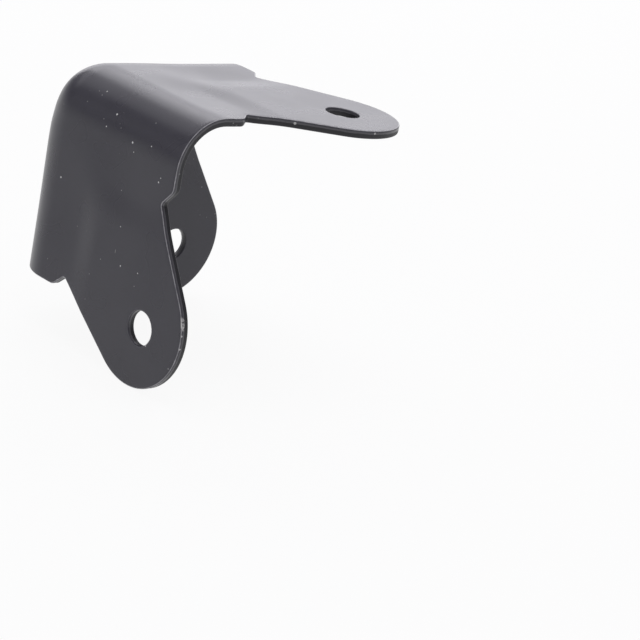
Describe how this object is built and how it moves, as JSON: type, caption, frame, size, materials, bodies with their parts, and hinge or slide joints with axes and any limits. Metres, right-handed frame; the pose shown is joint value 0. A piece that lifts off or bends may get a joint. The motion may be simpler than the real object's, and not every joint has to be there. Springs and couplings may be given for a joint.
{
  "type": "speaker cabinet corner",
  "caption": "Pressed sheet-steel corner guard for a speaker cabinet, with flat rounded ears on each face, rounded bends along the edges and a screw hole in each ear, satin black",
  "frame": {"origin": "The corner point of the cabinet that the part guards, where the inner faces of the ears would meet.", "axes": "The cabinet lies towards +X, +Y and -Z. The top ear faces +Z, the front ear faces -Y and the side ear faces -X. Each bend runs along one of the three axes."},
  "size_m": [0.0397, 0.0397, 0.0397],
  "materials": {
    "coated_steel": "satin black powder coat on pressed steel, a little worn at the cut edges"
  },
  "bodies": {
    "root": {"corner": "coated_steel"}
  },
  "joints": []
}
